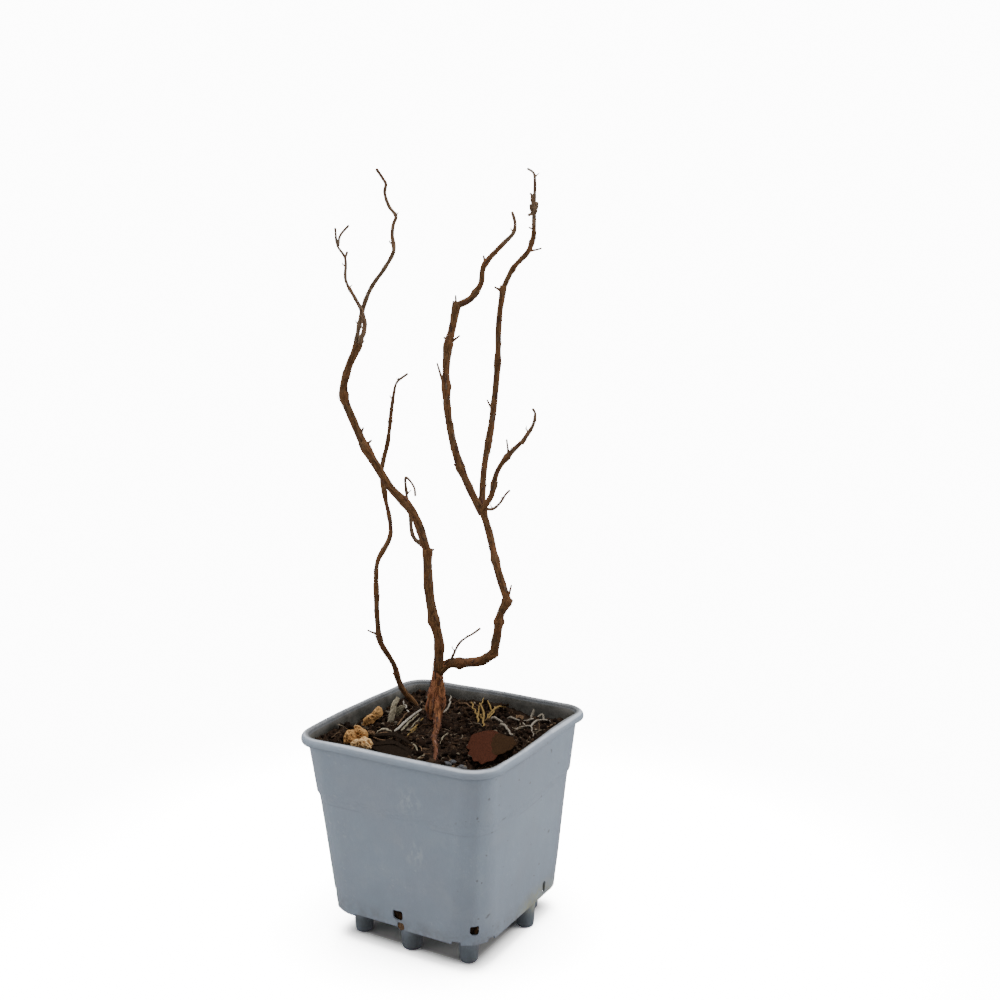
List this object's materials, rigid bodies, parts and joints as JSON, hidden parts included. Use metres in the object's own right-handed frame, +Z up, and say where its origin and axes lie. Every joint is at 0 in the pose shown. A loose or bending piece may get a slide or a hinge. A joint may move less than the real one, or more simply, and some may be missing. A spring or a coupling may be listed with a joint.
{
  "type": "potted raspberry cane",
  "caption": "Bare, twining raspberry cane with forked stems and fine twigs, standing in compost in a square grey nursery pot on short feet.",
  "frame": {"origin": "on the ground under the middle of the pot, level with the flat undersides of its feet", "axes": "+Z up, the plant's height; X and Y run along the sides of the square pot"},
  "size_m": [0.1568, 0.1568, 0.53],
  "materials": {
    "pot_plastic": "matt slate-grey moulded plastic, lightly scuffed",
    "compost": "dark moist bark compost",
    "red_bark": "flaking reddish-brown bark",
    "brown_bark": "dark brown ridged bark",
    "twig_bark": "dry pale brown twig bark"
  },
  "bodies": {
    "root": {"pot": "pot_plastic", "soil": "compost", "trunk": "red_bark", "left_cane_lower": "brown_bark", "left_cane_middle": "brown_bark", "left_cane_upper": "brown_bark", "right_cane_base": "brown_bark", "right_cane_lower": "brown_bark", "right_cane_upper": "brown_bark", "right_bough_left_lower": "brown_bark", "right_bough_left_upper": "brown_bark", "right_bough_middle_lower": "brown_bark", "right_bough_middle_upper": "brown_bark", "right_bough_right": "brown_bark", "thin_stem_lower": "brown_bark", "thin_stem_upper": "brown_bark", "twigs_left_top": "twig_bark", "twigs_left_high": "twig_bark", "twigs_right_top_left": "twig_bark", "twigs_right_top": "twig_bark", "twigs_right_side": "twig_bark", "twigs_left_node": "twig_bark", "twigs_thin_stem": "twig_bark", "twigs_low": "twig_bark", "twigs_right_node": "twig_bark"}
  },
  "joints": []
}
